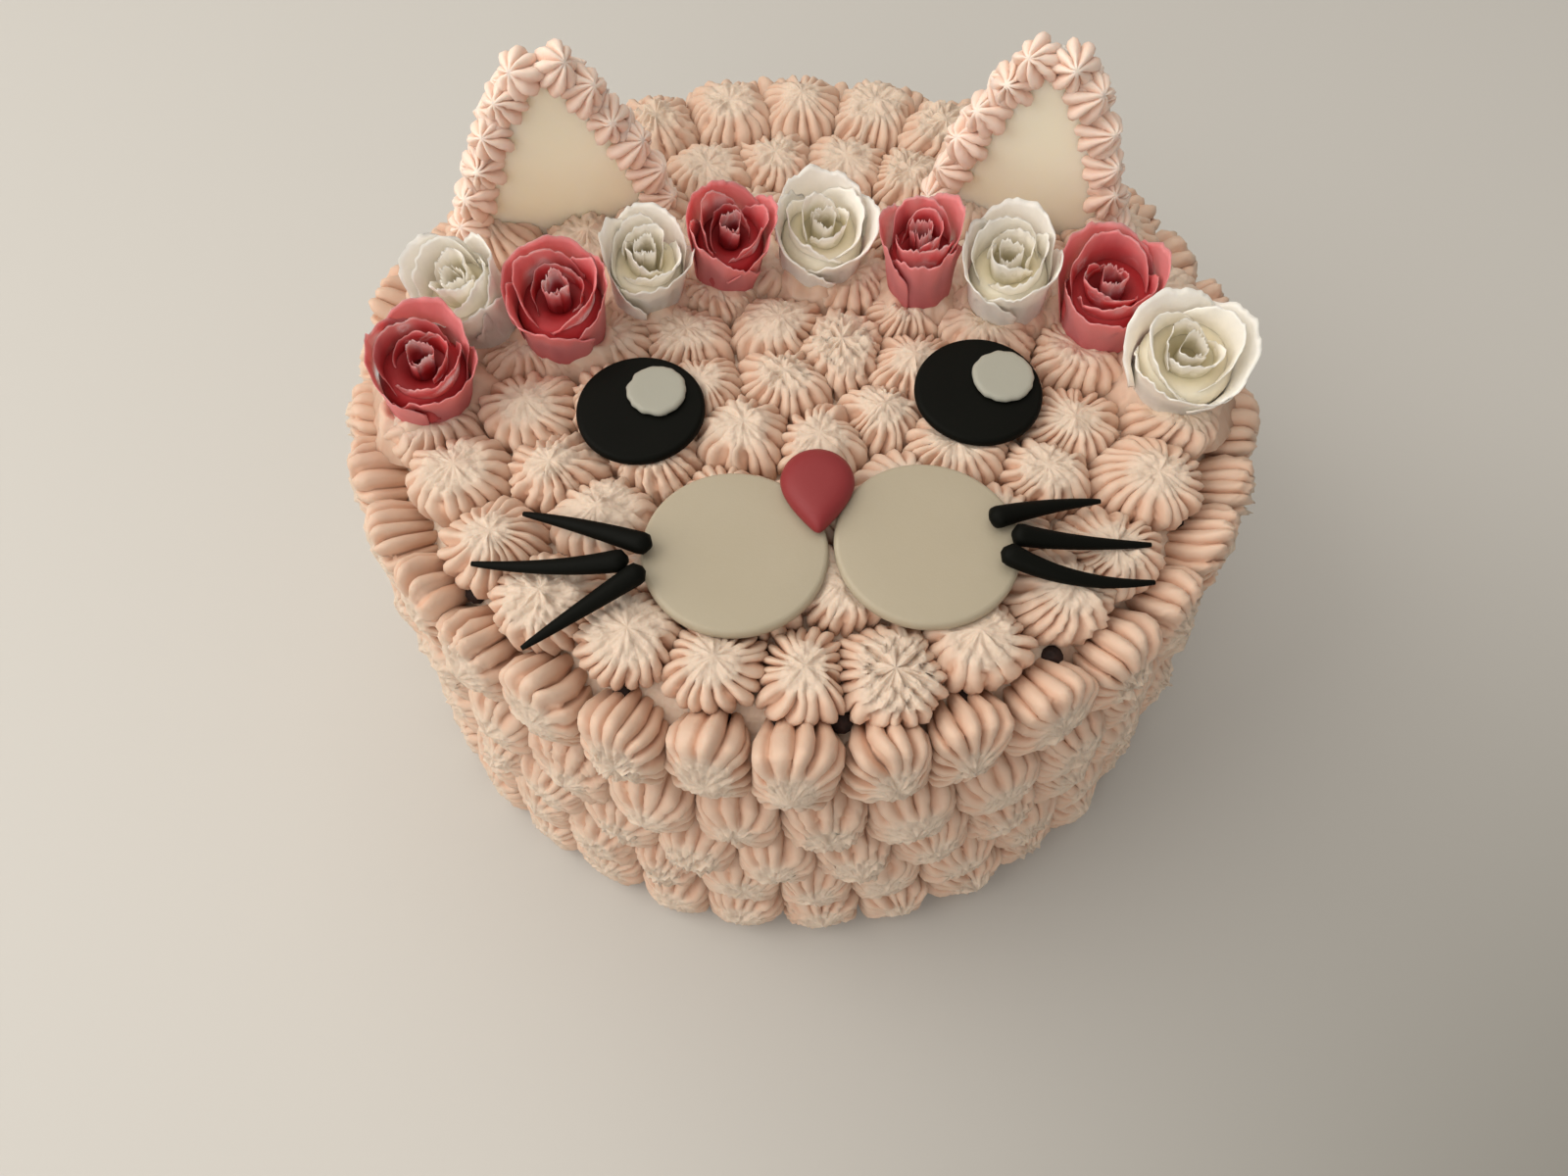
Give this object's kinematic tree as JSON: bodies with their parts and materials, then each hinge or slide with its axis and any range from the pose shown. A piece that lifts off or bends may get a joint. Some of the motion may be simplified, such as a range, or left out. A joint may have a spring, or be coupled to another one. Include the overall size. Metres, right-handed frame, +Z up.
{
  "type": "decorated cake",
  "caption": "Round cake piped all over with ribbed cream stars as a cat's face, with standing ears, an arc of roses, flat eyes and cheeks, a nose and whiskers.",
  "frame": {"origin": "Middle of the flat underside, on the axis of the round cake.", "axes": "+Z is up. The cat's face lies on the top with its chin towards -Y, and its right-hand ear as seen from the front is towards +X."},
  "size_m": [0.2083, 0.2029, 0.1587],
  "materials": {
    "cream": "smooth piped cream, soft sheen",
    "sugar_paste_white": "rolled sugar paste, satin",
    "sugar_paste_black": "dyed sugar paste, satin",
    "sugar_paste_red": "dyed sugar paste, satin",
    "petal_pink": "thin piped petals, matt",
    "petal_white": "thin piped petals, matt"
  },
  "bodies": {
    "root": {"piped_cake": "cream", "cheek_left": "sugar_paste_white", "cheek_right": "sugar_paste_white", "eye_left": "sugar_paste_black", "eye_right": "sugar_paste_black", "glint_left": "sugar_paste_white", "glint_right": "sugar_paste_white", "nose": "sugar_paste_red", "whisker_left_1": "sugar_paste_black", "whisker_left_2": "sugar_paste_black", "whisker_left_3": "sugar_paste_black", "whisker_right_1": "sugar_paste_black", "whisker_right_2": "sugar_paste_black", "whisker_right_3": "sugar_paste_black", "ear_left": "sugar_paste_white", "ear_right": "sugar_paste_white", "ear_piping_left": "cream", "ear_piping_right": "cream", "rose_pink_1": "petal_pink", "rose_white_1": "petal_white", "rose_pink_2": "petal_pink", "rose_white_2": "petal_white", "rose_pink_3": "petal_pink", "rose_white_3": "petal_white", "rose_pink_4": "petal_pink", "rose_white_4": "petal_white", "rose_pink_5": "petal_pink", "rose_white_5": "petal_white"}
  },
  "joints": []
}
